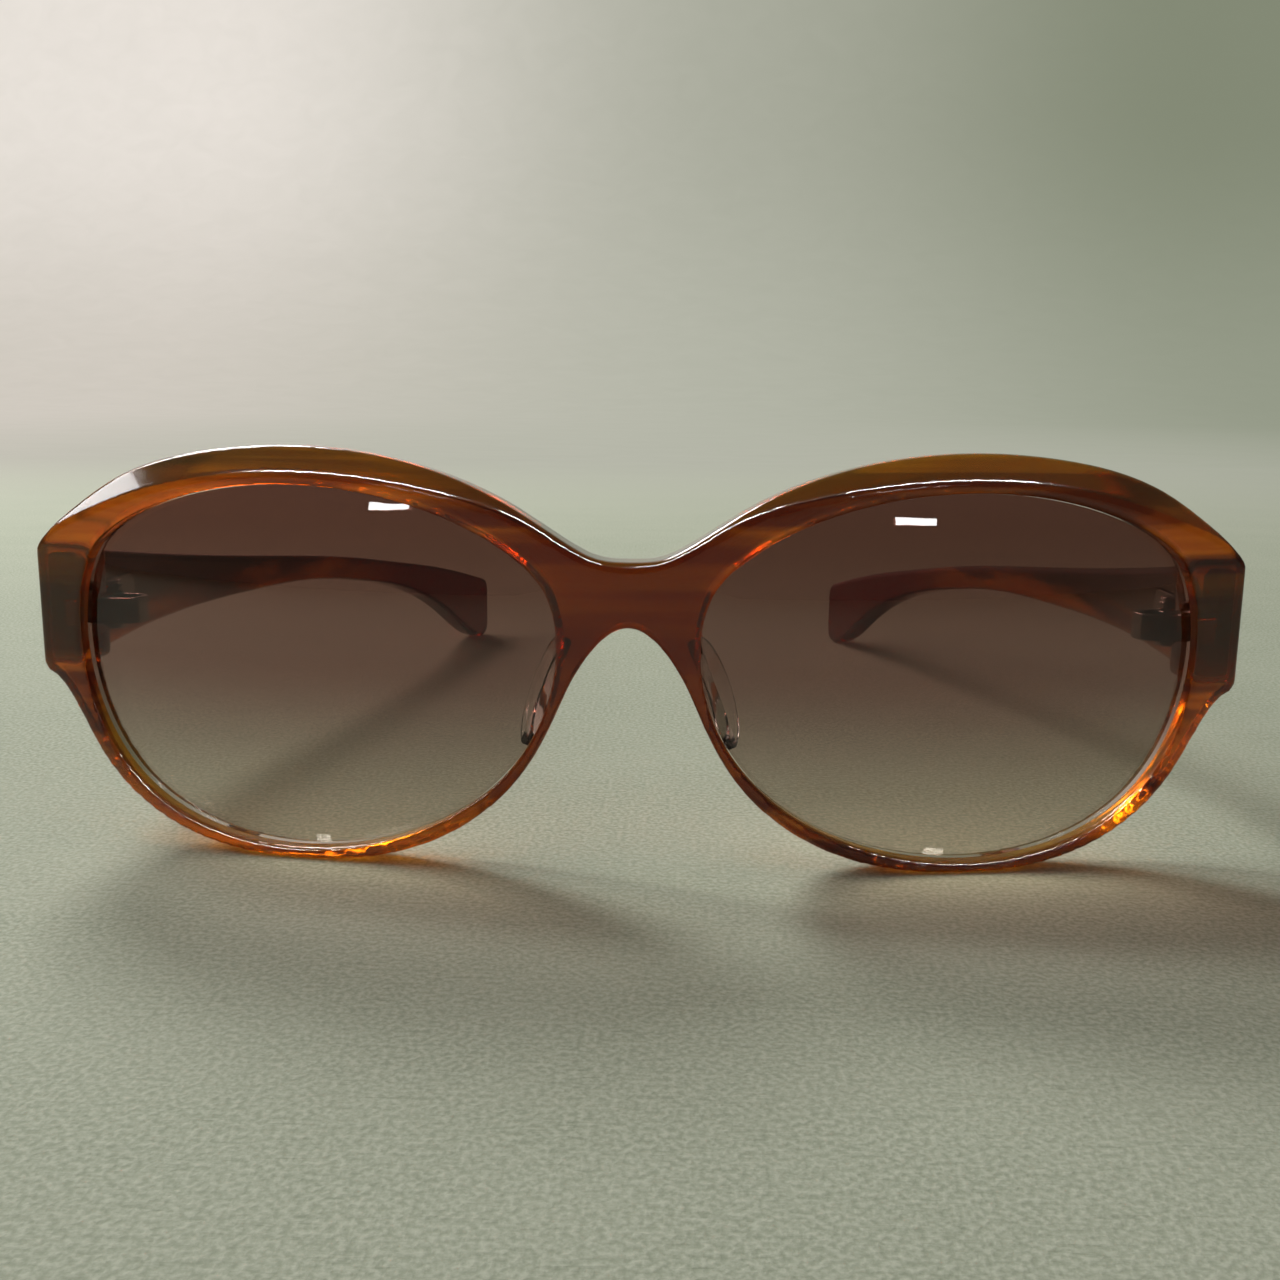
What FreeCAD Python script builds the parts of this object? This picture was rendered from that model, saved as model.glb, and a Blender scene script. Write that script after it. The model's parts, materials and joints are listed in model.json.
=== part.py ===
"""Large butterfly sunglasses: a bevelled acetate front with bowed, flared temples.

Frame of reference: X to the wearer's left, Y from the front towards the ears, Z up.
Everything is first built with Y = 0 on the front face at the bridge, then the whole
part is moved so that its origin is the centre of its bounding box at table height.
One side (+X) is modelled; the other is its mirror image. Lengths are millimetres.
"""
import os
from math import asin, cos, pi, radians, sin, sqrt

import FreeCAD
import Part
from FreeCAD import Placement, Rotation, Vector

# ---------------------------------------------------------------- front
FRONT_WIDTH = 146.0            # over both end pieces
FRONT_THICKNESS = 5.0          # acetate sheet
FRONT_BASE_RADIUS = 300.0      # wrap of the front face
BRIDGE_WIDTH = 17.8            # between the eye openings
BRIDGE_TOP = 37.2
BRIDGE_HEIGHT = 7.6            # over the nose arch, at the middle
END_PIECE_WIDTH = 4.5          # outside the eye opening
END_PIECE_TOP = 37.0           # outer corner of the brow
END_PIECE_BOTTOM = 21.8
END_CORNER_RADIUS = 1.5

# eye opening: support function about its centre (angles from the temple side, upwards)
EYE_WIDTH = FRONT_WIDTH / 2 - BRIDGE_WIDTH / 2 - END_PIECE_WIDTH
EYE_HEIGHT = 44.1
EYE_CENTRE_X = BRIDGE_WIDTH / 2 + EYE_WIDTH / 2
EYE_CENTRE_Z = 24.25
EYE_SQUARENESS = -0.6          # 4th harmonic: negative fills the corners
EYE_DROP = -0.53               # 3rd harmonic: pulls the widest point down at the temple
EYE_SWEEP = 0.93               # 3rd harmonic: flattens the brow, rounds the cheek

# rim width outside the eye opening, at an angle round the eye
BROW_RIM = ((150, 7.6), (138, 5.7), (121, 4.8), (100, 4.5), (80, 4.6), (62, 5.0),
            (46, 5.1), (33, 5.7))
CHEEK_RIM = ((349, 4.0), (343, 2.6), (328, 2.0), (300, 1.7), (270, 1.35), (243, 1.9),
             (217, 1.6), (200, 1.6), (187, 2.8))

# brow bevel: a flat facet that starts at a ridge on the front face and narrows over the bridge
BEVEL_ANGLE = 40.0             # from the front face
BEVEL_REACH = 4.5              # of the cutter, across the facet
BEVEL_AT_BRIDGE = 0.6
BEVEL_RIDGE = ((150, 7.0), (138, 5.1), (122, 3.9), (110, 2.6), (98, 1.6), (84, 1.4), (68, 2.1),
               (54, 3.1), (40, 4.4), (29, 5.8), (19, 7.6))

# ---------------------------------------------------------------- lens and its groove
LENS_RADIUS = 130.0            # four-base sphere at mid thickness
LENS_THICKNESS = 2.0
LENS_VERTEX_DEPTH = 0.8        # mid surface behind the front face at the eye centre
TONGUE_DEPTH = 0.5             # into the rim
TONGUE_THICKNESS = 0.9
LENS_CLEARANCE = 0.05

# ---------------------------------------------------------------- temple
LUG_BACK = 16.5                # plane on which the temple butts
LUG_INNER_X = FRONT_WIDTH / 2 - 6.4
LUG_BOTTOM = 22.2
LUG_TOP = 36.6
LUG_EDGE_RADIUS = 1.2
BUTT_GAP = 0.1
TEMPLE_THICKNESS = 4.0
TEMPLE_INNER_X = FRONT_WIDTH / 2 - TEMPLE_THICKNESS
TEMPLE_STRAIGHT = 13.0         # straight run at the hinge
TEMPLE_BEND_END = 45.0         # where the short bend ends
TEMPLE_LENGTH = 139.0
BEND_ANGLE = 14.0
BOW_ANGLE = 5.0                # further turn of the long bow to the tip
TIP_CORNER_RADIUS = 2.5
TEMPLE_EDGE_RADIUS = 1.0
# share of the length, top and bottom edge
TEMPLE_PROFILE = ((0.0, 35.9, 22.1), (0.09, 34.0, 22.7), (0.22, 31.3, 23.0), (0.36, 28.7, 22.9),
                  (0.49, 26.5, 22.1), (0.61, 24.1, 19.7), (0.72, 21.4, 16.4), (0.81, 19.1, 12.0),
                  (0.88, 17.0, 6.8), (0.94, 14.9, 1.8), (1.0, 12.6, -0.4))

# ---------------------------------------------------------------- hinge
HINGE_Z = 28.2                 # middle of the knuckles
KNUCKLE_HEIGHT = 3.3
EAR_THICKNESS = 1.1
KNUCKLE_GAP = 0.05
PIVOT_X = TEMPLE_INNER_X - 1.8
PIVOT_Y = 18.6
BARREL_RADIUS = 1.35
PIVOT_RADIUS = 0.7             # M1.4 screw
RUNNING_CLEARANCE = 0.03
SCREW_HEAD_RADIUS = 1.1
SCREW_HEAD_HEIGHT = 0.6
SCREW_SLOT = 0.3
SPRING_THICKNESS = 0.8         # bent strip that ends in the middle knuckle
SPRING_INNER_X = PIVOT_X - 4.8
SPRING_FRONT_Y = 15.2          # middle of the arm that is sunk in the end piece
SPRING_REAR_Y = 19.1
SPRING_TANG_END = PIVOT_X + 3.6
LEAF_THICKNESS = 1.0           # temple leaf, let into the inner face
LEAF_PROUD = 0.1
LEAF_FRONT_Y = 17.4
LEAF_LENGTH = 12.0
LEAF_HEIGHT = 6.0
LEAF_CORNER_SHARE = 0.6        # rear corner radius over half the height
LEAF_SCREW_SHARES = (0.45, 0.8)
LEAF_SCREW_RADIUS = 0.5
LEAF_HEAD_RADIUS = 0.95
LEAF_SCREW_LENGTH = 2.4

# ---------------------------------------------------------------- nose pads
PAD_TOP = (BRIDGE_WIDTH / 2 - 1.5, 27.8)        # foot on the rim: X and Z of its ends
PAD_BOTTOM = (BRIDGE_WIDTH / 2 + 3.5, 14.4)
PAD_DEPTH = 6.2                # back from the rim
PAD_THICKNESS = 1.5
PAD_SPLAY = 16.0               # lean to the temple side going back
PAD_EDGE_RADIUS = 0.45

OVERCUT = 20.0                 # cutting tools run this far past what they cut
TOUCH = 0.01                   # edges and faces closer than this are taken to coincide

UP = Vector(0, 0, 1)
BACK = Vector(0, 1, 0)
LEFT = Vector(1, 0, 0)

# lens axes: it faces forwards and a little outwards, square to the wrapped front
EYE_TILT = asin(EYE_CENTRE_X / FRONT_BASE_RADIUS)
LENS_SIDE = Vector(cos(EYE_TILT), sin(EYE_TILT), 0)
LENS_FORWARD = Vector(sin(EYE_TILT), -cos(EYE_TILT), 0)


def front_y(x, depth=0.0):
    """Y of the surface that lies `depth` behind the wrapped front face."""
    radius = FRONT_BASE_RADIUS - depth
    return FRONT_BASE_RADIUS - sqrt(radius ** 2 - x ** 2)


def upright_cylinder(radius, centre_x, centre_y, bottom, height):
    return Part.makeCylinder(radius, height, Vector(centre_x, centre_y, bottom))


def block(x0, x1, y0, y1, z0, z1):
    return Part.makeBox(x1 - x0, y1 - y0, z1 - z0, Vector(x0, y0, z0))


def mirrored(shape):
    return shape.mirror(Vector(0, 0, 0), LEFT)


# ---------------------------------------------------------------- eye opening
def eye_offset_point(angle, offset=0.0):
    """Point of the eye opening's outline moved `offset` outwards: across and up."""
    mean = (EYE_WIDTH + EYE_HEIGHT) / 4 - EYE_SQUARENESS
    swing = (EYE_WIDTH - EYE_HEIGHT) / 4
    reach = (mean + offset + swing * cos(2 * angle) + EYE_SQUARENESS * cos(4 * angle)
             + EYE_DROP * cos(3 * angle) + EYE_SWEEP * sin(3 * angle))
    slope = (-2 * swing * sin(2 * angle) - 4 * EYE_SQUARENESS * sin(4 * angle)
             - 3 * EYE_DROP * sin(3 * angle) + 3 * EYE_SWEEP * cos(3 * angle))
    across = reach * cos(angle) - slope * sin(angle)
    up = reach * sin(angle) + slope * cos(angle)
    return across, up


def eye_prism(offset, count=48):
    """The eye opening, grown by `offset`, as a bar along the lens axis."""
    centre = Vector(EYE_CENTRE_X, front_y(EYE_CENTRE_X), EYE_CENTRE_Z) + LENS_FORWARD * OVERCUT
    points = []
    for step in range(count):
        across, up = eye_offset_point(2 * pi * step / count, offset)
        points.append(centre + LENS_SIDE * across + UP * up)
    curve = Part.BSplineCurve()
    curve.interpolate(Points=points, PeriodicFlag=True)
    face = Part.Face(Part.Wire(curve.toShape()))
    return face.extrude(LENS_FORWARD * -(LUG_BACK + 2 * OVERCUT))


def lens_blank(thickness, offset):
    """Spherical meniscus cut to the eye shape grown by `offset`."""
    face_point = Vector(EYE_CENTRE_X, front_y(EYE_CENTRE_X), EYE_CENTRE_Z)
    centre = face_point - LENS_FORWARD * (LENS_VERTEX_DEPTH + LENS_RADIUS)
    outer = Part.makeSphere(LENS_RADIUS + thickness / 2, centre)
    inner = Part.makeSphere(LENS_RADIUS - thickness / 2, centre)
    return eye_prism(offset).common(outer).cut(inner)


def lens():
    """Tinted lens with a tongue all round its edge that sits in the rim's groove."""
    body = lens_blank(LENS_THICKNESS, -LENS_CLEARANCE)
    tongue = lens_blank(TONGUE_THICKNESS, TONGUE_DEPTH)
    return body.fuse(tongue).removeSplitter()


def lens_groove():
    """The tongue's form with clearance all round, cut into the rim."""
    return lens_blank(TONGUE_THICKNESS + 2 * LENS_CLEARANCE, TONGUE_DEPTH + LENS_CLEARANCE)


# ---------------------------------------------------------------- front outline
def front_point(angle_degrees, offset):
    """X and Z of a point at `offset` outside the eye opening, seen from the front."""
    across, up = eye_offset_point(radians(angle_degrees), offset)
    return EYE_CENTRE_X + across * cos(EYE_TILT), EYE_CENTRE_Z + up


def open_spline(points):
    curve = Part.BSplineCurve()
    curve.interpolate(Points=points)
    return curve.toShape()


def symmetric_spline(right_points):
    """Smooth curve through points listed from the middle outwards, and their mirror images."""
    left_points = [Vector(-p.x, p.y, p.z) for p in reversed(right_points) if p.x > 0]
    return open_spline(left_points + right_points)


def outline_prism(y0, y1):
    """Front view of the whole front, swept from y0 to y1."""
    half = FRONT_WIDTH / 2
    brow = [Vector(0, y0, BRIDGE_TOP)]
    brow += [Vector(x, y0, z) for x, z in (front_point(*station) for station in BROW_RIM)]
    brow.append(Vector(half, y0, END_PIECE_TOP))
    cheek = [Vector(0, y0, BRIDGE_TOP - BRIDGE_HEIGHT)]
    cheek += [Vector(x, y0, z) for x, z in (front_point(*station) for station in reversed(CHEEK_RIM))]
    cheek.append(Vector(half, y0, END_PIECE_BOTTOM))
    side = Part.makeLine(brow[-1], cheek[-1])
    edges = [symmetric_spline(brow), side, symmetric_spline(cheek), mirrored(side)]
    wire = Part.Wire(Part.__sortEdges__(edges))
    solid = Part.Face(wire).extrude(BACK * (y1 - y0))
    corners = [edge for edge in solid.Edges
               if abs(abs(edge.CenterOfMass.x) - half) < TOUCH
               and abs(edge.Length - (y1 - y0)) < TOUCH]
    return solid.makeFillet(END_CORNER_RADIUS, corners)


def bevel_cutter():
    """Wedge swept along the brow ridge from end piece to end piece; it leaves the flat facet."""
    ridge = [Vector(0, 0, BRIDGE_TOP - BEVEL_AT_BRIDGE)]
    for station in BEVEL_RIDGE:
        x, z = front_point(*station)
        ridge.append(Vector(x, front_y(x), z))
    spine = symmetric_spline(ridge)
    start = spine.valueAt(spine.FirstParameter)
    outward = spine.tangentAt(spine.FirstParameter).cross(BACK).normalize()
    facet = outward * cos(radians(BEVEL_ANGLE)) + BACK * sin(radians(BEVEL_ANGLE))
    corners = [start - facet, start + facet * BEVEL_REACH,
               start + outward * BEVEL_REACH - BACK * BEVEL_REACH]
    sweep = Part.BRepOffsetAPI.MakePipeShell(Part.Wire(spine))
    sweep.setBiNormalMode(BACK)
    sweep.add(Part.makePolygon(corners + corners[:1]))
    sweep.build()
    sweep.makeSolid()
    return sweep.shape()


def end_lug():
    """Thick end piece behind the front, on which the temple butts."""
    body = block(LUG_INNER_X, FRONT_WIDTH, 0, LUG_BACK, LUG_BOTTOM, LUG_TOP)
    inner_edges = [edge for edge in body.Edges
                   if abs(edge.CenterOfMass.x - LUG_INNER_X) < TOUCH
                   and edge.Length < LUG_BACK + TOUCH and abs(edge.CenterOfMass.y) > TOUCH]
    return body.makeFillet(LUG_EDGE_RADIUS, inner_edges)


def front_sheet(depth):
    """Everything behind the surface that lies `depth` behind the wrapped front face."""
    radius = FRONT_BASE_RADIUS - depth
    height = 2 * BRIDGE_TOP
    return upright_cylinder(radius, 0, FRONT_BASE_RADIUS, -BRIDGE_TOP / 2, height)


def front_frame():
    outline = outline_prism(-FRONT_THICKNESS, LUG_BACK).common(front_sheet(0))
    sheet = outline.cut(front_sheet(FRONT_THICKNESS))
    lug = end_lug()
    body = sheet.fuse([outline.common(side) for side in (lug, mirrored(lug))])
    body = body.cut(bevel_cutter())
    for tool in (eye_prism(0.0), lens_groove(), spring_pocket()):
        body = body.cut([tool, mirrored(tool)])
    return body.removeSplitter()


# ---------------------------------------------------------------- temple
def temple_station(share, outwards=0.0):
    """Point at a share of the temple's length, `outwards` from its inner face, and the heading."""
    run = share * TEMPLE_LENGTH
    x, y = TEMPLE_INNER_X, LUG_BACK + BUTT_GAP
    heading = 0.0
    stretches = ((TEMPLE_STRAIGHT, 0.0),
                 (TEMPLE_BEND_END - TEMPLE_STRAIGHT, radians(BEND_ANGLE)),
                 (TEMPLE_LENGTH - TEMPLE_BEND_END, radians(BOW_ANGLE)))
    for length, turn in stretches:
        part_run = min(run, length)
        part_turn = turn * part_run / length
        x -= part_run * sin(heading + part_turn / 2)
        y += part_run * cos(heading + part_turn / 2)
        heading += part_turn
        run -= part_run
    return Vector(x + outwards * cos(heading), y + outwards * sin(heading), 0), heading


def temple_plan_edges(outwards):
    """Straight run, short bend and long bow of one face, seen from above."""
    shares = [0.0, TEMPLE_STRAIGHT / TEMPLE_LENGTH, TEMPLE_BEND_END / TEMPLE_LENGTH, 1.0]
    points = [temple_station(share, outwards)[0] for share in shares]
    middles = [temple_station((a + b) / 2, outwards)[0] for a, b in zip(shares, shares[1:])]
    bend = Part.Arc(points[1], middles[1], points[2]).toShape()
    bow = Part.Arc(points[2], middles[2], points[3]).toShape()
    return [Part.makeLine(points[0], points[1]), bend, bow]


def temple_blank():
    """Side profile cut from a sheet that is bent to the plan."""
    inner, outer = temple_plan_edges(0.0), temple_plan_edges(TEMPLE_THICKNESS)
    ends = [Part.makeLine(inner[0].Vertexes[0].Point, outer[0].Vertexes[0].Point),
            Part.makeLine(inner[-1].Vertexes[-1].Point, outer[-1].Vertexes[-1].Point)]
    plan = Part.Face(Part.Wire(Part.__sortEdges__(inner + outer + ends)))
    sheet = plan.extrude(UP * END_PIECE_TOP * 2)
    sheet.translate(UP * -END_PIECE_TOP / 2)
    tops, bottoms = [], []
    for share, top, bottom in TEMPLE_PROFILE:
        y = temple_station(share)[0].y
        tops.append(Vector(0, y, top))
        bottoms.append(Vector(0, y, bottom))
    edges = [open_spline(tops), Part.makeLine(tops[-1], bottoms[-1]),
             open_spline(bottoms), Part.makeLine(bottoms[0], tops[0])]
    side = Part.Face(Part.Wire(Part.__sortEdges__(edges)))
    return side.extrude(LEFT * FRONT_WIDTH).common(sheet)


def temple():
    blank = temple_blank()
    tip = [edge for edge in blank.Edges if edge.BoundBox.YMin > TEMPLE_LENGTH
           and abs(edge.Length - TEMPLE_THICKNESS) < TEMPLE_THICKNESS * 0.2]
    blank = blank.makeFillet(TIP_CORNER_RADIUS, tip)
    butt = LUG_BACK + BUTT_GAP
    edges = [edge for edge in blank.Edges if edge.BoundBox.YMax > butt + TOUCH
             and abs(edge.Length - TEMPLE_THICKNESS) > TEMPLE_THICKNESS * 0.2]
    body = blank.makeFillet(TEMPLE_EDGE_RADIUS, edges)
    return body.cut([leaf_plate(), leaf_screws()])


# ---------------------------------------------------------------- hinge
def leaf_plate():
    """Plate of the temple leaf; its rear end is rounded."""
    x0 = TEMPLE_INNER_X - LEAF_PROUD
    y0 = LEAF_FRONT_Y
    y1 = LEAF_FRONT_Y + LEAF_LENGTH
    half = LEAF_HEIGHT / 2
    body = block(x0, x0 + LEAF_THICKNESS, y0, y1, HINGE_Z - half, HINGE_Z + half)
    rear = [edge for edge in body.Edges
            if abs(edge.CenterOfMass.y - y1) < TOUCH and abs(edge.Length - LEAF_THICKNESS) < TOUCH]
    return body.makeFillet(half * LEAF_CORNER_SHARE, rear)


def leaf_screw_axis_y():
    return [LEAF_FRONT_Y + LEAF_LENGTH * share for share in LEAF_SCREW_SHARES]


def leaf_screws():
    """Two countersunk screws that hold the leaf to the temple, one solid each."""
    x0 = TEMPLE_INNER_X - LEAF_PROUD
    head = LEAF_HEAD_RADIUS - LEAF_SCREW_RADIUS
    solids = []
    for y in leaf_screw_axis_y():
        start = Vector(x0, y, HINGE_Z)
        cone = Part.makeCone(LEAF_HEAD_RADIUS, LEAF_SCREW_RADIUS, head, start, LEFT)
        shank = Part.makeCylinder(LEAF_SCREW_RADIUS, LEAF_SCREW_LENGTH, start, LEFT)
        solids.append(cone.fuse(shank).removeSplitter())
    return Part.makeCompound(solids)


def ear(bottom):
    """Outer knuckle of the temple leaf with its web."""
    disc = upright_cylinder(BARREL_RADIUS, PIVOT_X, PIVOT_Y, bottom, EAR_THICKNESS)
    web = block(PIVOT_X, TEMPLE_INNER_X, PIVOT_Y - BARREL_RADIUS, PIVOT_Y + BARREL_RADIUS,
                bottom, bottom + EAR_THICKNESS)
    return disc.fuse(web)


def ear_levels():
    half = KNUCKLE_HEIGHT / 2 + KNUCKLE_GAP
    return HINGE_Z - half - EAR_THICKNESS, HINGE_Z + half


def hinge_leaf():
    lower, upper = ear_levels()
    body = leaf_plate().fuse([ear(lower), ear(upper)])
    top_hole = upright_cylinder(PIVOT_RADIUS + RUNNING_CLEARANCE, PIVOT_X, PIVOT_Y, HINGE_Z, OVERCUT)
    thread = upright_cylinder(PIVOT_RADIUS, PIVOT_X, PIVOT_Y, HINGE_Z - OVERCUT, OVERCUT)
    return body.cut([top_hole, thread, leaf_screws()]).removeSplitter()


def pivot_screw():
    lower, upper = ear_levels()
    seat = upper + EAR_THICKNESS
    shank = upright_cylinder(PIVOT_RADIUS, PIVOT_X, PIVOT_Y, lower, seat - lower)
    head = upright_cylinder(SCREW_HEAD_RADIUS, PIVOT_X, PIVOT_Y, seat, SCREW_HEAD_HEIGHT)
    slot = block(PIVOT_X - OVERCUT, PIVOT_X + OVERCUT,
                 PIVOT_Y - SCREW_SLOT / 2, PIVOT_Y + SCREW_SLOT / 2,
                 seat + SCREW_HEAD_HEIGHT / 2, seat + OVERCUT)
    return head.cut(slot).fuse(shank).removeSplitter()


def spring_arm(y, x0, x1):
    half_height = KNUCKLE_HEIGHT / 2
    return block(x0, x1, y - SPRING_THICKNESS / 2, y + SPRING_THICKNESS / 2,
                 HINGE_Z - half_height, HINGE_Z + half_height)


def hinge_spring():
    """Strip bent back on itself, from the end piece to the middle knuckle."""
    bottom = HINGE_Z - KNUCKLE_HEIGHT / 2
    mid_y = (SPRING_FRONT_Y + SPRING_REAR_Y) / 2
    outer = (SPRING_REAR_Y - SPRING_FRONT_Y + SPRING_THICKNESS) / 2
    bend_x = SPRING_INNER_X + outer
    ring = upright_cylinder(outer, bend_x, mid_y, bottom, KNUCKLE_HEIGHT)
    bore = upright_cylinder(outer - SPRING_THICKNESS, bend_x, mid_y, bottom, KNUCKLE_HEIGHT)
    half_plane = block(bend_x - 2 * outer, bend_x, mid_y - 2 * outer, mid_y + 2 * outer,
                       bottom, bottom + KNUCKLE_HEIGHT)
    bend = ring.cut(bore).common(half_plane)
    barrel = upright_cylinder(BARREL_RADIUS, PIVOT_X, PIVOT_Y, bottom, KNUCKLE_HEIGHT)
    body = bend.fuse([spring_arm(SPRING_FRONT_Y, bend_x, SPRING_TANG_END),
                      spring_arm(SPRING_REAR_Y, bend_x, PIVOT_X), barrel])
    hole = upright_cylinder(PIVOT_RADIUS + RUNNING_CLEARANCE, PIVOT_X, PIVOT_Y, bottom, KNUCKLE_HEIGHT)
    return body.cut(hole).removeSplitter()


def spring_pocket():
    """Slot in the end piece that holds the strip's tang."""
    return spring_arm(SPRING_FRONT_Y, SPRING_INNER_X, SPRING_TANG_END)


# ---------------------------------------------------------------- nose pad
def nose_pad():
    """Half-oval wing bonded to the back of the rim, splayed away from the nose."""
    top = Vector(PAD_TOP[0], 0, PAD_TOP[1])
    bottom = Vector(PAD_BOTTOM[0], 0, PAD_BOTTOM[1])
    along = (bottom - top).normalize()
    splay = radians(PAD_SPLAY)
    back = Vector(sin(splay), cos(splay), 0)
    back = (back - along * back.dot(along)).normalize()
    half_length = (bottom - top).Length / 2
    middle = (top + bottom) / 2
    middle.y = front_y(middle.x, FRONT_THICKNESS)
    normal = along.cross(back).normalize()
    oval = Part.Ellipse(middle + along * half_length, middle + back * PAD_DEPTH, middle)
    face = Part.Face(Part.Wire(oval.toShape()))
    blade = face.extrude(normal * PAD_THICKNESS)
    blade.translate(normal * (-PAD_THICKNESS / 2))
    blade = blade.makeFillet(PAD_EDGE_RADIUS, [e for e in blade.Edges if e.Length > PAD_DEPTH * 2])
    return blade.common(front_sheet(FRONT_THICKNESS))


# ---------------------------------------------------------------- assembly
def build():
    nodes = {"front_frame": front_frame()}
    makers = {"lens": lens, "nose_pad": nose_pad, "hinge_spring": hinge_spring,
              "hinge_leaf": hinge_leaf, "pivot_screw": pivot_screw,
              "leaf_screws": leaf_screws, "temple": temple}
    for name, make in makers.items():
        solid = make()
        nodes[name + "_left"] = solid
        nodes[name + "_right"] = mirrored(solid)
    return nodes


def place_on_origin(nodes):
    """Origin at the centre of the bounding box, at its lowest point."""
    box = Part.makeCompound(list(nodes.values())).optimalBoundingBox()
    shift = Vector(-(box.XMin + box.XMax) / 2, -(box.YMin + box.YMax) / 2, -box.ZMin)
    for shape in nodes.values():
        shape.translate(shift)
    return shift


def main():
    nodes = build()
    shift = place_on_origin(nodes)
    os.makedirs("parts", exist_ok=True)
    for name, shape in nodes.items():
        shape.exportStep("parts/%s.step" % name)
        print(name, "solids", len(shape.Solids), "valid", shape.isValid(), "volume", round(shape.Volume, 1))
    pivot = Vector(PIVOT_X, PIVOT_Y, HINGE_Z) + shift
    print("shift", tuple(round(v, 3) for v in shift))
    print("pivot", tuple(round(v, 3) for v in pivot))


main()
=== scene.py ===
"""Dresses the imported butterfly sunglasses: amber horn acetate, graded lenses, clear pads, hinges."""

import json
import logging
import math
from dataclasses import dataclass
from enum import StrEnum

import bmesh
import bpy
from mathutils import Matrix, Vector
from mathutils.bvhtree import BVHTree


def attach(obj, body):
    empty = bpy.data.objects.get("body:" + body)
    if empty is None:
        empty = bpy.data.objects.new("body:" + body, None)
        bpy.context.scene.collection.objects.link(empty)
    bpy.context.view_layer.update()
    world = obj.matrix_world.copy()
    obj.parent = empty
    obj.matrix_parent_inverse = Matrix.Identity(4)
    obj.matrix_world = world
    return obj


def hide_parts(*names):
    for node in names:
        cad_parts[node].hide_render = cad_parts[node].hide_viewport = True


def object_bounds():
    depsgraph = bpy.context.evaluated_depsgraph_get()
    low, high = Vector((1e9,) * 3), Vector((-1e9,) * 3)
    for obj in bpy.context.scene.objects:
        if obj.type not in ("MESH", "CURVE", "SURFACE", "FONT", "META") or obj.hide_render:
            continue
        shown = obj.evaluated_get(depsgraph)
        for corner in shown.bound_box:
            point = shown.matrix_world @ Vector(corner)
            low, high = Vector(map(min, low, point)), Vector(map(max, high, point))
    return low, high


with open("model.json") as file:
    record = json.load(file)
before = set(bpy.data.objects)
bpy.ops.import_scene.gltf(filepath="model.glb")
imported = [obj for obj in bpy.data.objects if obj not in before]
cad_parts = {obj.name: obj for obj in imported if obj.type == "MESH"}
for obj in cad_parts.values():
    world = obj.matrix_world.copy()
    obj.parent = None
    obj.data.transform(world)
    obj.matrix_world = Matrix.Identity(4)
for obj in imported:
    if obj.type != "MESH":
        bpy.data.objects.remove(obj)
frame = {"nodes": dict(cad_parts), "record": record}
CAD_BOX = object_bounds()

log = logging.getLogger("sunglasses")

Colour = tuple[float, float, float]
Point = tuple[float, float, float]
Steps = tuple[float, float]
Socket = bpy.types.NodeSocket
Form = bmesh.types.BMesh
Edge = bmesh.types.BMEdge

MILLIMETRE = 0.001

BODY_OF = {
    node: body
    for body, members in frame["record"]["behaviour"]["bodies"].items()
    for node in members
}


class Side(StrEnum):
    """The wearer's left or right, as the word that ends the node names."""

    LEFT = "left"
    RIGHT = "right"


class Slot(StrEnum):
    """The record's material slots."""

    FRONT = "acetate"
    TEMPLE = "acetate_temple"
    LENS = "lens_tint"
    PAD = "clear_pad"
    HINGE = "hinge_steel"
    SCREW = "screw_steel"


def screen(red: int, green: int, blue: int) -> Colour:
    """Turns an 8-bit screen colour into the linear colour that a shader takes.

    Args:
        red: Red from 0 to 255.
        green: Green from 0 to 255.
        blue: Blue from 0 to 255.

    Returns:
        The three linear channels.
    """

    def channel(value: int) -> float:
        """Undoes the sRGB curve for one channel."""
        share = value / 255
        return share / 12.92 if share <= 0.04045 else ((share + 0.055) / 1.055) ** 2.4

    return channel(red), channel(green), channel(blue)


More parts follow.
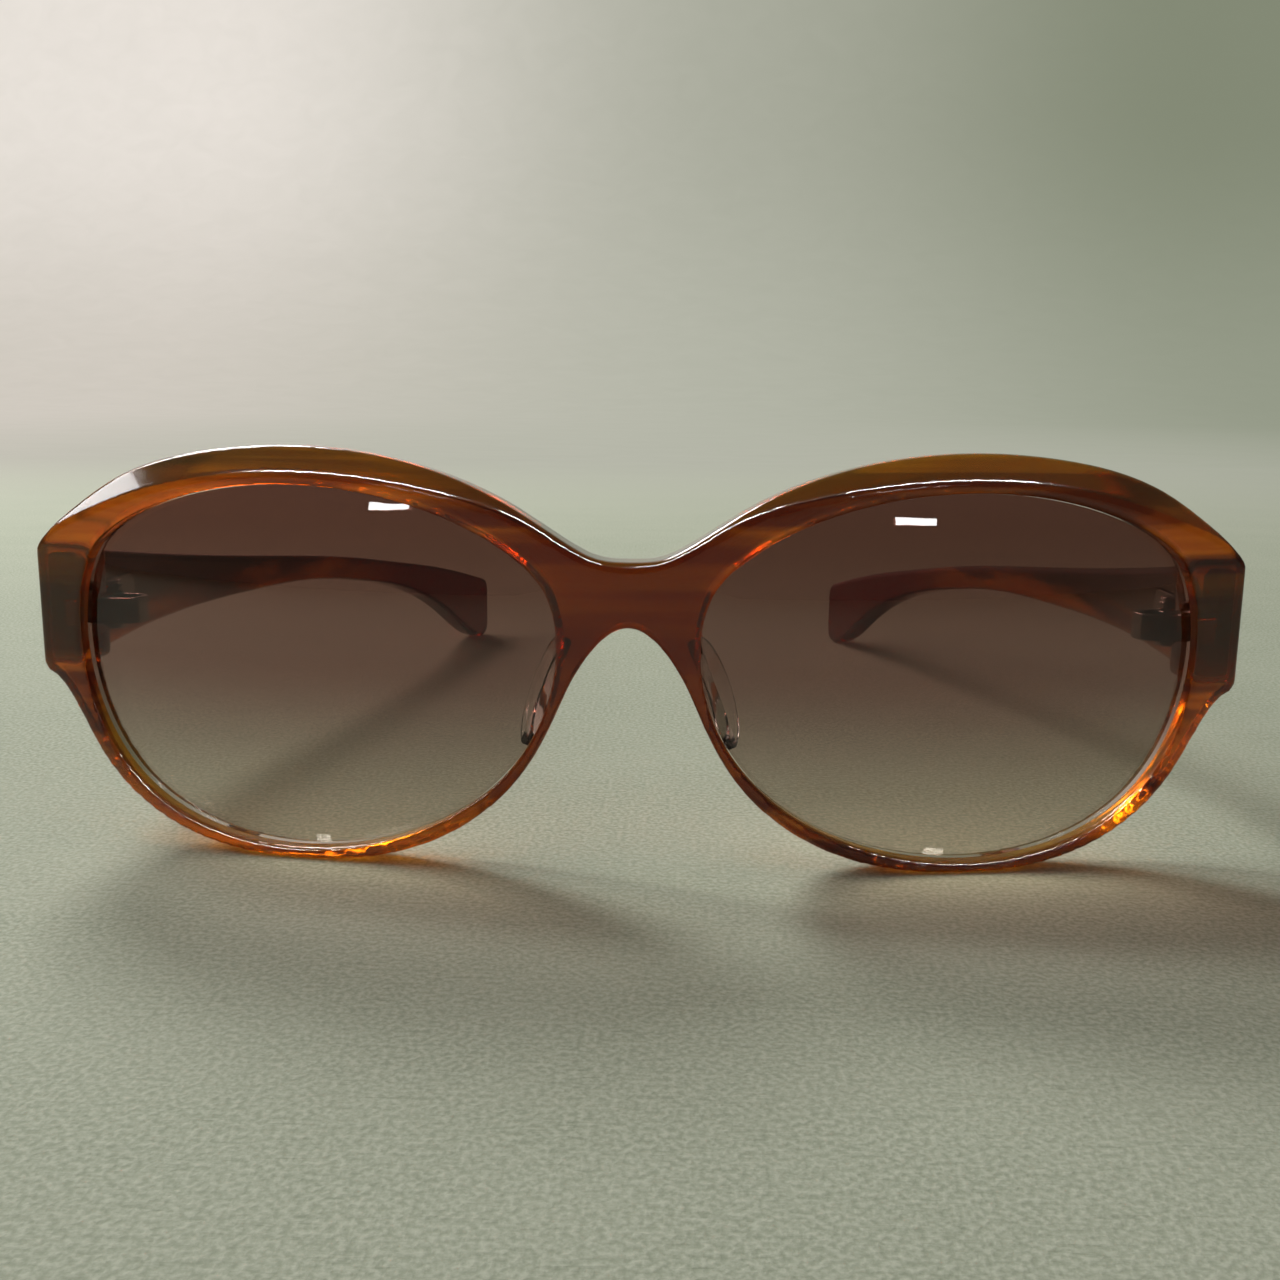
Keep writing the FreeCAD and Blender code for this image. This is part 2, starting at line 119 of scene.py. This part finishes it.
# --------------------------------------------------------------------------- node recipe
class Recipe:
    """A material's node tree, with short calls for the nodes this scene needs."""

    def __init__(self, name: str) -> None:
        """Starts a tree that holds a Principled shader.

        Args:
            name: The material's name.
        """
        self.material = bpy.data.materials.new(name)
        self.material.use_nodes = True
        self.nodes = self.material.node_tree.nodes
        self.links = self.material.node_tree.links
        self.shader = self.nodes["Principled BSDF"]
        self.output = self.nodes["Material Output"]
        place = self.nodes.new("ShaderNodeTexCoord")
        self.position: Socket = place.outputs["Object"]
        self.normal: Socket = place.outputs["Normal"]

    def feed(self, socket: Socket, value: Socket | float | Colour) -> None:
        """Links a node's output to a socket, or sets a plain value on it.

        Args:
            socket: The input to fill.
            value: An output to link, a number or a colour.
        """
        if isinstance(value, bpy.types.NodeSocket):
            self.links.new(value, socket)
        elif isinstance(value, tuple) and socket.type == "RGBA":
            socket.default_value = (*value, 1.0)
        else:
            socket.default_value = value

    def set(self, **values: Socket | float | Colour) -> None:
        """Fills the Principled shader's sockets, named with underscores for spaces."""
        for name, value in values.items():
            self.feed(self.shader.inputs[name.replace("_", " ")], value)

    def axis(self, direction: Socket, letter: str) -> Socket:
        """Takes one coordinate of a vector.

        Args:
            direction: The vector, such as the position in metres.
            letter: X, Y or Z.

        Returns:
            The coordinate.
        """
        split = self.nodes.new("ShaderNodeSeparateXYZ")
        self.feed(split.inputs[0], direction)
        return split.outputs[letter]

    def math(self, operation: str, *values: Socket | float) -> Socket:
        """Puts a Math node on one, two or three values.

        Args:
            operation: The node's operation.
            values: What it works on.

        Returns:
            The result.
        """
        node = self.nodes.new("ShaderNodeMath")
        node.operation = operation
        for socket, value in zip(node.inputs, values):
            self.feed(socket, value)
        return node.outputs[0]

    def ramp_up(self, value: Socket, low: float, high: float) -> Socket:
        """Makes a smooth step out of a value.

        Args:
            value: What the step follows.
            low: Where the step is 0; it may lie above `high`.
            high: Where the step is 1.

        Returns:
            The step, from 0 to 1.
        """
        node = self.nodes.new("ShaderNodeMapRange")
        node.interpolation_type = "SMOOTHSTEP"
        self.feed(node.inputs["Value"], value)
        self.feed(node.inputs["From Min"], low)
        self.feed(node.inputs["From Max"], high)
        return node.outputs["Result"]

    def noise(self, grain: Vector | Point, detail: float, warp: float = 0.0) -> Socket:
        """Makes soft noise whose grain has the given size along each axis.

        Args:
            grain: Size of one patch along X, Y and Z, in metres.
            detail: How many finer layers are added.
            warp: How much the noise bends itself.

        Returns:
            A value from 0 to 1.
        """
        mapping = self.nodes.new("ShaderNodeMapping")
        mapping.inputs["Scale"].default_value = [1 / size for size in Vector(grain)]
        self.feed(mapping.inputs["Vector"], self.position)
        node = self.nodes.new("ShaderNodeTexNoise")
        node.inputs["Scale"].default_value = 1.0
        node.inputs["Detail"].default_value = detail
        node.inputs["Distortion"].default_value = warp
        self.feed(node.inputs["Vector"], mapping.outputs[0])
        return node.outputs["Fac"]

    def blend(self, share: Socket | float, first: Socket | Colour, second: Socket | Colour) -> Socket:
        """Goes from one colour to another.

        Args:
            share: 0 for the first colour, 1 for the second.
            first: The first colour.
            second: The second colour.

        Returns:
            The blended colour.
        """
        node = self.nodes.new("ShaderNodeMix")
        node.data_type = "RGBA"
        inputs = [socket for socket in node.inputs if socket.type == "RGBA"]
        self.feed(node.inputs[0], share)
        self.feed(inputs[0], first)
        self.feed(inputs[1], second)
        return next(socket for socket in node.outputs if socket.type == "RGBA")

    def bump(self, height: Socket, depth: float, strength: float) -> None:
        """Presses a height pattern into the surface.

        Args:
            height: The pattern, 0 to 1.
            depth: How deep it is, in metres.
            strength: Share of the effect.
        """
        node = self.nodes.new("ShaderNodeBump")
        node.inputs["Strength"].default_value = strength
        node.inputs["Distance"].default_value = depth
        self.feed(node.inputs["Height"], height)
        self.feed(self.shader.inputs["Normal"], node.outputs[0])

    def turn_into(self, share: Socket, other: Socket) -> None:
        """Lets the surface go from the Principled shader to another one.

        Args:
            share: 0 for the Principled shader, 1 for the other.
            other: The other shader.
        """
        mix = self.nodes.new("ShaderNodeMixShader")
        self.feed(mix.inputs[0], share)
        self.links.new(self.shader.outputs[0], mix.inputs[1])
        self.links.new(other, mix.inputs[2])
        self.links.new(mix.outputs[0], self.output.inputs["Surface"])

    def let_lamps_through(self, tint: Socket | Colour) -> None:
        """Lets lamp light pass a glass in a tint, so that it doesn't cast a black shadow.

        Args:
            tint: What the whole glass lets through.
        """
        path = self.nodes.new("ShaderNodeLightPath")
        clear = self.nodes.new("ShaderNodeBsdfTransparent")
        self.feed(clear.inputs["Color"], tint)
        self.turn_into(path.outputs["Is Shadow Ray"], clear.outputs[0])


# --------------------------------------------------------------------------- finishes
@dataclass(frozen=True)
class HornAcetate:
    """Clear amber acetate whose depth absorbs blue, streaked along the sheet's grain."""

    name: str
    grain: Point
    honey: Colour = (0.94, 0.44, 0.03)
    amber: Colour = (0.72, 0.25, 0.015)
    honey_steps: Steps = (0.35, 0.7)
    fine_size: float = 0.3
    streak: Colour = (0.13, 0.024, 0.002)
    streak_steps: Steps = (0.47, 0.62)
    streak_share: float = 0.95
    depth_colour: Colour = (0.866, 0.578, 0.0)
    depth_density: float = 480.0
    shade: Colour = (0.20, 0.175, 0.15)
    index: float = 1.49
    body_gloss: float = 0.06
    body_clear: float = 0.86
    body_roughness: float = 0.09
    haze_roughness: float = 0.06
    haze_size: float = 2 * MILLIMETRE
    polish_index: float = 1.18
    polish_roughness: float = 0.02

    def make(self) -> bpy.types.Material:
        """Builds the acetate: a streaked tint at the surface and a depth that absorbs.

        Returns:
            The material.
        """
        recipe = Recipe(self.name)
        broad = recipe.noise(self.grain, detail=2.0, warp=0.4)
        fine = recipe.noise(Vector(self.grain) * self.fine_size, detail=4.0, warp=0.5)
        colour = recipe.blend(recipe.ramp_up(fine, *self.honey_steps), self.amber, self.honey)
        streaks = recipe.math("MULTIPLY", recipe.ramp_up(broad, *self.streak_steps), self.streak_share)
        colour = recipe.blend(streaks, colour, self.streak)
        colour = self.laminate(recipe, colour, fine)
        haze = recipe.noise((self.haze_size,) * 3, detail=6.0)
        recipe.set(
            Base_Color=colour,
            Roughness=recipe.math("MULTIPLY_ADD", haze, self.haze_roughness, self.body_roughness),
            IOR=self.index,
            Specular_IOR_Level=self.body_gloss,
            Transmission_Weight=self.body_clear,
            Coat_Weight=1.0,
            Coat_Roughness=self.polish_roughness,
            Coat_IOR=self.polish_index,
        )
        recipe.let_lamps_through(self.shade)
        depth = recipe.nodes.new("ShaderNodeVolumeAbsorption")
        recipe.feed(depth.inputs["Color"], self.depth_colour)
        recipe.feed(depth.inputs["Density"], self.depth_density)
        recipe.links.new(depth.outputs[0], recipe.output.inputs["Volume"])
        return recipe.material

    def laminate(self, recipe: Recipe, colour: Socket, fine: Socket) -> Socket:
        """Leaves the streaked amber as it is; a subclass adds its darker layers here, and the front
        adds painted shade too.
        """
        return colour


@dataclass(frozen=True)
class FrontAcetate(HornAcetate):
    """The front's sheet: olive at the bevel, with painted shade that makes the end pieces dark and the
    nose red-brown.
    """

    nose: Colour = (0.22, 0.032, 0.002)
    nose_share: float = 0.85
    nose_core: float = 0.006
    nose_reach: float = 0.028
    band: Colour = (0.30, 0.12, 0.03)
    band_share: float = 0.92
    band_foot: Steps = (0.0205, 0.0275)
    band_head: Steps = (0.0366, 0.0318)
    band_side: Steps = (0.062, 0.069)
    band_wander: float = 2 * MILLIMETRE
    bevel: Colour = (0.46, 0.30, 0.035)
    bevel_slopes: Steps = (0.3, 0.5)

    def laminate(self, recipe: Recipe, colour: Socket, fine: Socket) -> Socket:
        """Adds painted shade as the nose's dark amber and the end pieces' dark stretch, and the
        bevel's olive layer.

        Args:
            recipe: The acetate.
            colour: The streaked amber.
            fine: The fine streaks, which make the edges of the painted end-piece shade wander.

        Returns:
            The layered colour.
        """
        across = recipe.math("ABSOLUTE", recipe.axis(recipe.position, "X"))
        # painted shade: darker amber toward the nose, where less light comes through the acetate
        nose_shade_mask = recipe.ramp_up(across, self.nose_reach, self.nose_core)
        colour = recipe.blend(recipe.math("MULTIPLY", nose_shade_mask, self.nose_share), colour, self.nose)
        # painted shade: dark over the end pieces, where the lug and hinge behind them darken the
        # acetate
        height = recipe.math("MULTIPLY_ADD", fine, self.band_wander, recipe.axis(recipe.position, "Z"))
        level = recipe.math(
            "MULTIPLY",
            recipe.ramp_up(height, *self.band_foot),
            recipe.ramp_up(height, *self.band_head),
        )
        band = recipe.math("MULTIPLY", level, recipe.ramp_up(across, *self.band_side))
        colour = recipe.blend(recipe.math("MULTIPLY", band, self.band_share), colour, self.band)
        tilt = recipe.axis(recipe.normal, "Z")
        return recipe.blend(recipe.ramp_up(tilt, *self.bevel_slopes), colour, self.bevel)


@dataclass(frozen=True)
class TempleAcetate(HornAcetate):
    """A temple's sheet: horn along the top, amber along the bottom, dark red at the tip."""

    depth_density: float = 300.0
    body_clear: float = 0.8
    horn: Colour = (0.14, 0.075, 0.02)
    horn_foot: Steps = (0.0268, 0.0290)
    horn_wander: float = 3 * MILLIMETRE
    tip: Colour = (0.32, 0.009, 0.003)
    tip_reach: Steps = (0.010, 0.045)

    def laminate(self, recipe: Recipe, colour: Socket, fine: Socket) -> Socket:
        """Adds the upper horn layer and the dark tip.

        Args:
            recipe: The acetate.
            colour: The streaked amber.
            fine: The fine streaks, which make the layer's edge wander.

        Returns:
            The layered colour.
        """
        height = recipe.math("MULTIPLY_ADD", fine, self.horn_wander, recipe.axis(recipe.position, "Z"))
        colour = recipe.blend(recipe.ramp_up(height, *self.horn_foot), colour, self.horn)
        along = recipe.axis(recipe.position, "Y")
        return recipe.blend(recipe.ramp_up(along, *self.tip_reach), colour, self.tip)


@dataclass(frozen=True)
class GradedLens:
    """Brown tinted lens, dark at the brow and light at the cheek."""

    name: str = "graded_brown_lens"
    brow: Colour = (0.15, 0.062, 0.047)
    middle: Colour = (0.23, 0.12, 0.10)
    cheek: Colour = (0.56, 0.50, 0.43)
    top: float = 0.043
    centre: float = 0.025
    bottom: float = 0.003
    index: float = 1.5

    def make(self) -> bpy.types.Material:
        """Builds the lens glass, which lets lamps through tinted.

        Returns:
            The material.
        """
        recipe = Recipe(self.name)
        height = recipe.axis(recipe.position, "Z")
        upper = recipe.ramp_up(height, self.centre, self.top)
        lower = recipe.ramp_up(height, self.centre, self.bottom)
        tint = recipe.blend(upper, self.middle, self.brow)
        tint = recipe.blend(lower, tint, self.cheek)
        recipe.set(Base_Color=tint, Roughness=0.0, IOR=self.index, Transmission_Weight=1.0)
        recipe.let_lamps_through(tint)
        return recipe.material


@dataclass(frozen=True)
class ClearPad:
    """Clear polished acetate of the nose pads."""

    name: str = "clear_acetate"
    tint: Colour = (0.95, 0.93, 0.9)
    index: float = 1.35
    roughness: float = 0.03

    def make(self) -> bpy.types.Material:
        """Builds the clear acetate.

        Returns:
            The material.
        """
        recipe = Recipe(self.name)
        recipe.set(
            Base_Color=self.tint,
            Roughness=self.roughness,
            IOR=self.index,
            Transmission_Weight=1.0,
        )
        recipe.let_lamps_through(self.tint)
        return recipe.material


@dataclass(frozen=True)
class PlatedMetal:
    """Plated hinge metal with a fine tumbled grain."""

    name: str
    plate: Colour
    tarnish: Colour = (0.05, 0.05, 0.05)
    tarnish_share: float = 0.3
    grain_size: float = 0.3 * MILLIMETRE
    grain_depth: float = 0.01 * MILLIMETRE
    grain_strength: float = 0.4
    grain_roughness: float = 0.1
    roughness: float = 0.16

    def make(self) -> bpy.types.Material:
        """Builds the metal.

        Returns:
            The material.
        """
        recipe = Recipe(self.name)
        grain = recipe.noise((self.grain_size,) * 3, detail=5.0)
        dull = recipe.math("MULTIPLY", grain, self.tarnish_share)
        recipe.set(
            Base_Color=recipe.blend(dull, self.plate, self.tarnish),
            Metallic=1.0,
            Roughness=recipe.math("MULTIPLY_ADD", grain, self.grain_roughness, self.roughness),
        )
        recipe.bump(grain, self.grain_depth, self.grain_strength)
        return recipe.material


@dataclass(frozen=True)
class SagePaper:
    """Sage paper with a fine tooth; its far end shows light that falls off from left to right."""

    name: str = "sage_paper"
    dark: Colour = screen(140, 147, 126)
    light: Colour = screen(166, 170, 150)
    tooth: Colour = screen(184, 187, 168)
    fibre: Colour = screen(114, 121, 101)
    fibre_share: float = 0.3
    cloud_size: Point = (0.06, 0.03, 0.05)
    tooth_size: float = 0.6 * MILLIMETRE
    fibre_size: Point = (0.004, 0.0006, 0.004)
    tooth_steps: Steps = (0.3, 0.75)
    fibre_steps: Steps = (0.5, 0.8)
    tooth_depth: float = 0.15 * MILLIMETRE
    tooth_strength: float = 0.6
    roughness: float = 0.75
    gloss: float = 0.1
    low_left: Colour = screen(212, 205, 195)
    low_middle: Colour = screen(184, 185, 171)
    low_right: Colour = screen(150, 155, 137)
    high_left: Colour = screen(236, 229, 221)
    high_middle: Colour = screen(175, 176, 162)
    high_right: Colour = screen(132, 138, 118)
    mottle: Colour = screen(120, 126, 108)
    mottle_share: float = 0.12
    left_reach: Steps = (0.1, -1.0)
    right_reach: Steps = (-0.1, 1.0)
    high_reach: Steps = (0.0, 0.6)
    far_reach: Steps = (0.15, 0.75)

    def make(self) -> bpy.types.Material:
        """Builds the paper.

        Returns:
            The material.
        """
        recipe = Recipe(self.name)
        cloud = recipe.noise(self.cloud_size, detail=4.0, warp=0.8)
        tooth = recipe.noise((self.tooth_size,) * 3, detail=4.0)
        fibre = recipe.noise(self.fibre_size, detail=3.0, warp=1.5)
        colour = recipe.blend(cloud, self.dark, self.light)
        colour = recipe.blend(recipe.ramp_up(tooth, *self.tooth_steps), colour, self.tooth)
        fibres = recipe.math("MULTIPLY", recipe.ramp_up(fibre, *self.fibre_steps), self.fibre_share)
        colour = recipe.blend(fibres, colour, self.fibre)
        recipe.set(Base_Color=colour, Roughness=self.roughness, Specular_IOR_Level=self.gloss)
        recipe.bump(tooth, self.tooth_depth, self.tooth_strength)
        self.light_far_end(recipe, cloud)
        return recipe.material

    def light_far_end(self, recipe: Recipe, cloud: Socket) -> None:
        """Gives the far paper its own light where it is only looked at, not where it lights.

        Args:
            recipe: The paper.
            cloud: Its soft mottling, 0 to 1.
        """
        across = recipe.axis(recipe.position, "X")
        left = recipe.ramp_up(across, *self.left_reach)
        right = recipe.ramp_up(across, *self.right_reach)
        low = recipe.blend(left, self.low_middle, self.low_left)
        low = recipe.blend(right, low, self.low_right)
        high = recipe.blend(left, self.high_middle, self.high_left)
        high = recipe.blend(right, high, self.high_right)
        upper = recipe.ramp_up(recipe.axis(recipe.position, "Z"), *self.high_reach)
        colour = recipe.blend(upper, low, high)
        colour = recipe.blend(recipe.math("MULTIPLY", cloud, self.mottle_share), colour, self.mottle)
        glow = recipe.nodes.new("ShaderNodeEmission")
        recipe.feed(glow.inputs["Color"], colour)
        path = recipe.nodes.new("ShaderNodeLightPath")
        seen = recipe.math("MAXIMUM", path.outputs["Is Camera Ray"], path.outputs["Is Glossy Ray"])
        seen = recipe.math("MAXIMUM", seen, path.outputs["Is Transmission Ray"])
        far = recipe.ramp_up(recipe.axis(recipe.position, "Y"), *self.far_reach)
        recipe.turn_into(recipe.math("MULTIPLY", seen, far), glow.outputs[0])


Finish = HornAcetate | GradedLens | ClearPad | PlatedMetal

FINISHES: dict[Slot, Finish] = {
    Slot.FRONT: FrontAcetate("amber_horn_front", (0.08, 0.02, 0.0032)),
    Slot.TEMPLE: TempleAcetate("amber_horn_temple", (0.01, 0.06, 0.005)),
    Slot.LENS: GradedLens(),
    Slot.PAD: ClearPad(),
    Slot.HINGE: PlatedMetal("dark_nickel", (0.42, 0.39, 0.36)),
    Slot.SCREW: PlatedMetal("bright_screw", (0.62, 0.6, 0.57)),
}


# --------------------------------------------------------------------------- pieces
@dataclass(frozen=True)
class Drum:
    """One run in the polishing drum: an even mesh of one size, smoothed a number of times."""

    grain: float
    passes: int
    bite: float = 0.5


@dataclass(kw_only=True)
class SubAssembly:
    """Stands smooth, finished copies in for the solids of one sub-assembly."""

    materials: dict[Slot, bpy.types.Material]
    smooth_angle: float = math.radians(35)
    weld: float = 0.002 * MILLIMETRE
    seat_gap: float = 0.12 * MILLIMETRE
    hinge_drum: Drum = Drum(0.09 * MILLIMETRE, 3)

    def build(self) -> list[bpy.types.Object]:
        """Dresses the pieces in order; each sub-assembly says which."""
        raise NotImplementedError

    def welded(self, node: str) -> Form:
        """Copies a solid's loose triangles into one closed mesh.

        Args:
            node: The solid's node name.

        Returns:
            The mesh.
        """
        form = bmesh.new()
        form.from_mesh(frame["nodes"][node].data)
        bmesh.ops.remove_doubles(form, verts=form.verts, dist=self.weld)
        return form

    def close_seat(self, form: Form, neighbour: str) -> None:
        """Takes the hidden tongue or groove off a wall and closes the wall straight across.

        Args:
            form: The mesh whose wall is closed.
            neighbour: The solid that sits against the hidden faces.
        """
        other = self.welded(neighbour)
        tree = BVHTree.FromBMesh(other)
        other.free()
        hidden = [
            face
            for face in form.faces
            if all(tree.find_nearest(vert.co, self.seat_gap)[0] is not None for vert in face.verts)
        ]
        bmesh.ops.delete(form, geom=hidden, context="FACES")
        bmesh.ops.bridge_loops(form, edges=[edge for edge in form.edges if edge.is_boundary])

    def polished(self, node: str, slot: Slot, seats: tuple[str, ...] = ()) -> bpy.types.Object:
        """Stands a welded, smooth-shaded copy in for a solid.

        Args:
            node: The solid's node name.
            slot: The record's material slot.
            seats: Solids that the copy sits against with a hidden tongue or groove.

        Returns:
            The new piece.
        """
        form = self.welded(node)
        for neighbour in seats:
            self.close_seat(form, neighbour)
        for face in form.faces:
            face.smooth = True
        for edge in form.edges:
            edge.smooth = edge.is_manifold and edge.calc_face_angle(0.0) < self.smooth_angle
        mesh = bpy.data.meshes.new(f"polished_{node}")
        form.to_mesh(mesh)
        form.free()
        mesh.materials.clear()
        mesh.materials.append(self.materials[slot])
        piece = bpy.data.objects.new(f"polished_{node}", mesh)
        bpy.context.scene.collection.objects.link(piece)
        weights = piece.modifiers.new("even_shading", "WEIGHTED_NORMAL")
        weights.keep_sharp = True
        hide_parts(node)
        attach(piece, BODY_OF[node])
        return piece

    def tumbled(
        self, node: str, slot: Slot, drum: Drum, seats: tuple[str, ...] = ()
    ) -> bpy.types.Object:
        """Stands a copy in for a solid, with its edges worn round as by a polishing drum.

        Args:
            node: The solid's node name.
            slot: The record's material slot.
            drum: How long and how coarsely the copy is polished.
            seats: Solids that the copy sits against with a hidden tongue or groove.

        Returns:
            The new piece.
        """
        piece = self.polished(node, slot, seats)
        piece.modifiers.clear()
        even = piece.modifiers.new("even_mesh", "REMESH")
        even.mode = "VOXEL"
        even.voxel_size = drum.grain
        smooth = piece.modifiers.new("polishing_drum", "SMOOTH")
        smooth.factor = drum.bite
        smooth.iterations = drum.passes
        finished = bpy.data.meshes.new_from_object(
            piece.evaluated_get(bpy.context.evaluated_depsgraph_get())
        )
        piece.modifiers.clear()
        piece.data = finished
        finished.materials.clear()
        finished.materials.append(self.materials[slot])
        finished.shade_smooth()
        return piece


@dataclass(kw_only=True)
class Front(SubAssembly):
    """The front with its lenses, nose pads and hinge strips."""

    frame_drum: Drum = Drum(0.3 * MILLIMETRE, 14)

    def build(self) -> list[bpy.types.Object]:
        """Dresses the front's pieces.

        Returns:
            The new pieces.
        """
        lenses = tuple(f"lens_{side}" for side in Side)
        pieces = [self.tumbled("front_frame", Slot.FRONT, self.frame_drum, lenses)]
        for side in Side:
            pieces += [
                self.polished(f"lens_{side}", Slot.LENS, ("front_frame",)),
                self.polished(f"nose_pad_{side}", Slot.PAD),
                self.tumbled(f"hinge_spring_{side}", Slot.HINGE, self.hinge_drum),
            ]
        return pieces


@dataclass(kw_only=True)
class Temple(SubAssembly):
    """One temple with its hinge leaf and screws."""

    side: Side
    temple_drum: Drum = Drum(0.3 * MILLIMETRE, 4)
    screw_drum: Drum = Drum(0.06 * MILLIMETRE, 2)

    def build(self) -> list[bpy.types.Object]:
        """Dresses the temple's pieces.

        Returns:
            The new pieces.
        """
        return [
            self.tumbled(f"temple_{self.side}", Slot.TEMPLE, self.temple_drum),
            self.tumbled(f"hinge_leaf_{self.side}", Slot.HINGE, self.hinge_drum),
            self.tumbled(f"leaf_screws_{self.side}", Slot.SCREW, self.screw_drum),
            self.tumbled(f"pivot_screw_{self.side}", Slot.SCREW, self.screw_drum),
        ]


# --------------------------------------------------------------------------- studio
@dataclass(frozen=True)
class Lamp:
    """A soft rectangular lamp; a gloss-only one shows in polished surfaces and lights no matt ones."""

    name: str
    place: Point
    size: tuple[float, float]
    power: float
    gloss_only: bool = False
    aim: Point = (0.0, -0.03, 0.02)

    def hang(self) -> None:
        """Hangs the lamp, facing its aim."""
        data = bpy.data.lights.new(self.name, "AREA")
        data.shape = "RECTANGLE"
        data.size, data.size_y = self.size
        data.energy = self.power
        lamp = bpy.data.objects.new(self.name, data)
        place = Vector(self.place)
        facing = (Vector(self.aim) - place).to_track_quat("-Z", "Y").to_matrix().to_4x4()
        lamp.matrix_world = Matrix.Translation(place) @ facing
        lamp.visible_diffuse = not self.gloss_only
        bpy.context.scene.collection.objects.link(lamp)


LAMPS = (
    Lamp("key", (-0.74, 1.15, 1.2), (0.5, 0.5), 21.0),
    Lamp("side_window", (-1.24, 0.04, 0.75), (0.5, 0.4), 6.0),
    Lamp("paper_wash", (-1.7, 0.9, 1.9), (1.0, 1.0), 62.0, aim=(-0.8, 2.5, 0.7)),
    Lamp("strip_left", (-0.36, -0.62, 0.85), (0.62, 0.07), 12.0, gloss_only=True),
    Lamp("strip_right", (0.38, -0.62, 0.85), (0.56, 0.07), 11.0, gloss_only=True),
    Lamp("panel_left", (-0.63, -1.9, 0.38), (0.2, 0.032), 0.5, gloss_only=True),
    Lamp("panel_right", (0.655, -1.85, 0.35), (0.2, 0.032), 0.5, gloss_only=True),
)


@dataclass
class PaperSweep:
    """A sheet of paper that lies flat, turns up in a wide sweep and goes on upright."""

    half_width: float = 3.6
    near: float = -1.4
    far: float = 1.7
    sweep_radius: float = 0.9
    sweep_steps: int = 32
    height: float = 1.2
    weld: float = 0.1 * MILLIMETRE

    def build(self) -> None:
        """Lays the paper under the sunglasses."""
        form = bmesh.new()
        floor = CAD_BOX[0][2]
        corners = [form.verts.new((x, self.near, floor)) for x in (-self.half_width, self.half_width)]
        edge = self.carry(form, form.edges.new(corners), Vector((0, self.far - self.near, 0)))
        turned = bmesh.ops.spin(
            form,
            geom=[edge, *edge.verts],
            cent=(0, self.far, floor + self.sweep_radius),
            axis=(1, 0, 0),
            angle=math.pi / 2,
            steps=self.sweep_steps,
        )
        last = next(item for item in turned["geom_last"] if isinstance(item, Edge))
        self.carry(form, last, Vector((0, 0, self.height)))
        bmesh.ops.remove_doubles(form, verts=form.verts, dist=self.weld)
        bmesh.ops.recalc_face_normals(form, faces=form.faces)
        if min(form.faces, key=lambda face: face.calc_center_median().z).normal.z < 0:
            bmesh.ops.reverse_faces(form, faces=form.faces)
        mesh = bpy.data.meshes.new("paper")
        form.to_mesh(mesh)
        form.free()
        mesh.shade_smooth()
        mesh.materials.append(SagePaper().make())
        paper = bpy.data.objects.new("paper", mesh)
        bpy.context.scene.collection.objects.link(paper)

    def carry(self, form: Form, edge: Edge, way: Vector) -> Edge:
        """Extrudes an edge along a straight way.

        Args:
            form: The mesh.
            edge: The edge that is carried.
            way: How far and in which direction.

        Returns:
            The edge at the far end.
        """
        grown = bmesh.ops.extrude_edge_only(form, edges=[edge])["geom"]
        moved = [item for item in grown if isinstance(item, bmesh.types.BMVert)]
        bmesh.ops.translate(form, verts=moved, vec=way)
        return form.edges.get(moved)


@dataclass
class Studio:
    """The camera, the paper, the lamps and the even light of the room."""

    camera_place: Point = (0.0067, -0.2280, 0.0579)
    camera_turn: float = math.radians(1.998)
    camera_tilt: float = math.radians(90 - 10.942)
    camera_roll: float = math.radians(0.609)
    lens_length: float = 37.97
    nearest_view: float = 0.01
    room_colour: Colour = screen(222, 224, 214)
    room_light: float = 0.12

    def build_camera(self) -> None:
        """Sets the camera at its place and angle."""
        data = bpy.data.cameras.new("camera")
        data.lens = self.lens_length
        data.clip_start = self.nearest_view
        camera = bpy.data.objects.new("camera", data)
        turn = Matrix.Rotation(self.camera_turn, 4, "Z")
        tilt = Matrix.Rotation(self.camera_tilt, 4, "X")
        roll = Matrix.Rotation(self.camera_roll, 4, "Z")
        camera.matrix_world = Matrix.Translation(Vector(self.camera_place)) @ turn @ tilt @ roll
        bpy.context.scene.collection.objects.link(camera)
        bpy.context.scene.camera = camera

    def build_room(self) -> None:
        """Fills the room with even light."""
        world = bpy.data.worlds.new("room")
        world.use_nodes = True
        background = world.node_tree.nodes["Background"]
        background.inputs["Color"].default_value = (*self.room_colour, 1.0)
        background.inputs["Strength"].default_value = self.room_light
        bpy.context.scene.world = world

    def build(self) -> None:
        """Sets up the whole studio."""
        self.build_camera()
        PaperSweep().build()
        for lamp in LAMPS:
            lamp.hang()
        self.build_room()


def main() -> None:
    """Builds the studio, the front and both temples."""
    logging.basicConfig(level=logging.INFO, format="%(name)s: %(message)s")
    bpy.context.scene.view_settings.view_transform = "Standard"
    Studio().build()
    materials = {slot: finish.make() for slot, finish in FINISHES.items()}
    assemblies: list[SubAssembly] = [Front(materials=materials)]
    assemblies += [Temple(materials=materials, side=side) for side in Side]
    for assembly in assemblies:
        for piece in assembly.build():
            log.info("%s: %d faces", piece.name, len(piece.data.polygons))


if __name__ == "__main__":
    main()
